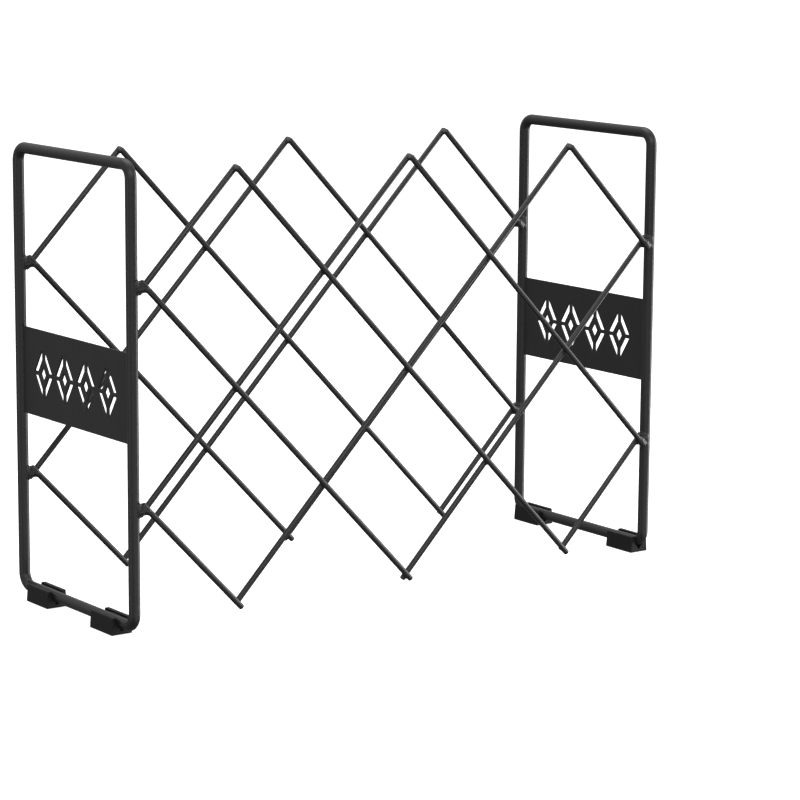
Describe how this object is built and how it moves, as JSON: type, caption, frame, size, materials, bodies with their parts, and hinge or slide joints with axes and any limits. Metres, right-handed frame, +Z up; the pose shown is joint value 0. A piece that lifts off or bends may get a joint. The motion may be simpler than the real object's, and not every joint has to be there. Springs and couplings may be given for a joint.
{
  "type": "countertop wine rack",
  "caption": "Countertop wine rack: rod end loops with pierced panels joined by front and rear diamond lattices of crossed wire, on clip-on plastic feet.",
  "frame": {"origin": "on the floor, in the middle of the overall length and depth", "axes": "+X along the rack's length towards its right end, -Y towards the front where bottle necks point, +Z up"},
  "size_m": [0.4912, 0.17, 0.3412],
  "materials": {
    "rod_coat": "fine satin black powder coat on 8 mm steel rod",
    "wire_coat": "fine satin black powder coat on 4 mm steel wire",
    "panel_coat": "fine satin black powder coat on 1.5 mm sheet steel",
    "foot_plastic": "matte black moulded plastic"
  },
  "bodies": {
    "root": {"left_side_loop": "rod_coat", "right_side_loop": "rod_coat", "left_pierced_panel": "panel_coat", "right_pierced_panel": "panel_coat", "front_left_peak_rising_wire": "wire_coat", "front_left_peak_falling_wire": "wire_coat", "front_middle_peak_rising_wire": "wire_coat", "front_middle_peak_falling_wire": "wire_coat", "front_right_peak_rising_wire": "wire_coat", "front_right_peak_falling_wire": "wire_coat", "front_left_long_wire": "wire_coat", "front_right_long_wire": "wire_coat", "front_left_corner_wire": "wire_coat", "front_right_corner_wire": "wire_coat", "rear_left_peak_rising_wire": "wire_coat", "rear_left_peak_falling_wire": "wire_coat", "rear_middle_peak_rising_wire": "wire_coat", "rear_middle_peak_falling_wire": "wire_coat", "rear_right_peak_rising_wire": "wire_coat", "rear_right_peak_falling_wire": "wire_coat", "rear_left_long_wire": "wire_coat", "rear_right_long_wire": "wire_coat", "rear_left_corner_wire": "wire_coat", "rear_right_corner_wire": "wire_coat", "front_left_lower_boss": "wire_coat", "front_left_upper_boss": "wire_coat", "front_right_lower_boss": "wire_coat", "front_right_upper_boss": "wire_coat", "rear_left_lower_boss": "wire_coat", "rear_left_upper_boss": "wire_coat", "rear_right_lower_boss": "wire_coat", "rear_right_upper_boss": "wire_coat", "left_front_foot": "foot_plastic", "left_rear_foot": "foot_plastic", "right_front_foot": "foot_plastic", "right_rear_foot": "foot_plastic"}
  },
  "joints": []
}
